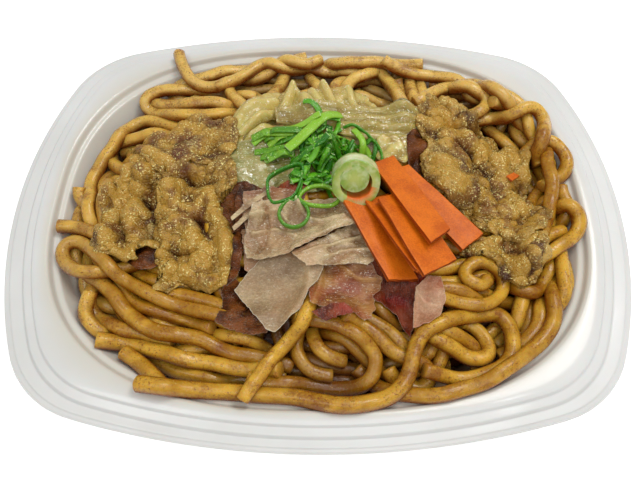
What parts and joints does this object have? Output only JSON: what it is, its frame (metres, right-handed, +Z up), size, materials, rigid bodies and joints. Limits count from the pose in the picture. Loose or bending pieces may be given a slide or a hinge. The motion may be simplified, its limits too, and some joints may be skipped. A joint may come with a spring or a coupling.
{
  "type": "yaki udon in a tray",
  "caption": "Oblong foam tray with a stepped rim, heaped with fried udon noodles, sliced pork, cabbage, carrot strips, green onion and bonito flakes.",
  "frame": {"origin": "middle of the tray's base, on the surface that it stands on", "axes": "+X to the right along the tray's length, +Y to the back of the dish, +Z up"},
  "size_m": [0.225, 0.1756, 0.0494],
  "materials": {
    "foam": "smooth white foamed polystyrene, soft sheen",
    "noodle": "golden brown, wet with sauce",
    "cabbage": "cooked leaf, wet and slightly clear",
    "pork": "fried, glazed with sauce",
    "flake": "thin dry shaving, satin",
    "red_flake": "thin dry shaving, satin",
    "carrot": "cooked, satin",
    "pale_onion": "raw, wet",
    "green_onion": "raw, wet"
  },
  "bodies": {
    "root": {"tray": "foam", "noodle_heap": "noodle", "cabbage_back": "cabbage", "cabbage_wedge": "cabbage", "cabbage_strip": "cabbage", "cabbage_rib": "cabbage", "cabbage_middle": "cabbage", "cabbage_small": "cabbage", "pork_left_side": "pork", "pork_left_front": "pork", "pork_left_back": "pork", "pork_right": "pork", "pork_right_fold": "pork", "pork_right_front": "pork", "bonito_red": "red_flake", "bonito_pale": "flake", "bonito_brown": "red_flake", "bonito_pink": "flake", "bonito_front": "flake", "bonito_side": "flake", "bonito_crumpled": "flake", "carrot_strip_1": "carrot", "carrot_strip_2": "carrot", "carrot_strip_3": "carrot", "carrot_strip_4": "carrot", "carrot_strip_5": "carrot", "onion_pile": "green_onion", "onion_ring_left": "green_onion", "onion_ring_mid": "green_onion", "onion_ring_front": "green_onion", "onion_slice": "pale_onion"}
  },
  "joints": []
}
